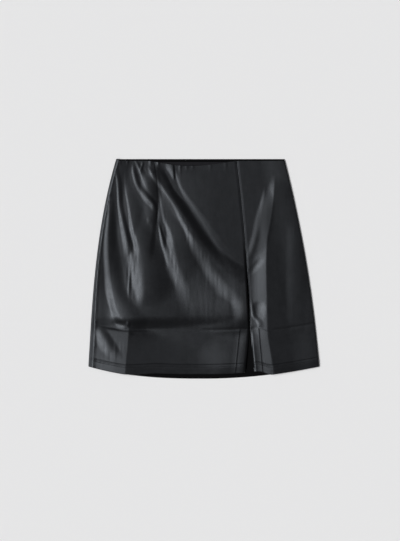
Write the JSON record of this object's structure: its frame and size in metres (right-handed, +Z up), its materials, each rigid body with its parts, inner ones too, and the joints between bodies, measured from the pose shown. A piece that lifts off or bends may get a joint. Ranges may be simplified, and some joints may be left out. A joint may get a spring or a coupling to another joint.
{
  "type": "leather mini skirt",
  "caption": "Short coated-cloth skirt laid flat on its back, flared from waist to a curved hem, with a slit below a long front seam and soft folds at one side.",
  "frame": {"origin": "centre of the flat underside's bounding box, on the surface the skirt lies on", "axes": "+Z up from that surface, out of the skirt's front; +Y from hem to waist; +X across the hem, towards the side with the slit"},
  "size_m": [0.461, 0.439, 0.0156],
  "materials": {
    "leather": "semi-gloss coated face with a soft sheen",
    "waist_facing": "matt knitted back of the cloth",
    "thread": "satin sewing thread"
  },
  "bodies": {
    "root": {"front_panel": "leather", "front_side_panel": "leather", "back_panel": "leather", "back_waist_facing": "waist_facing"}
  },
  "joints": []
}
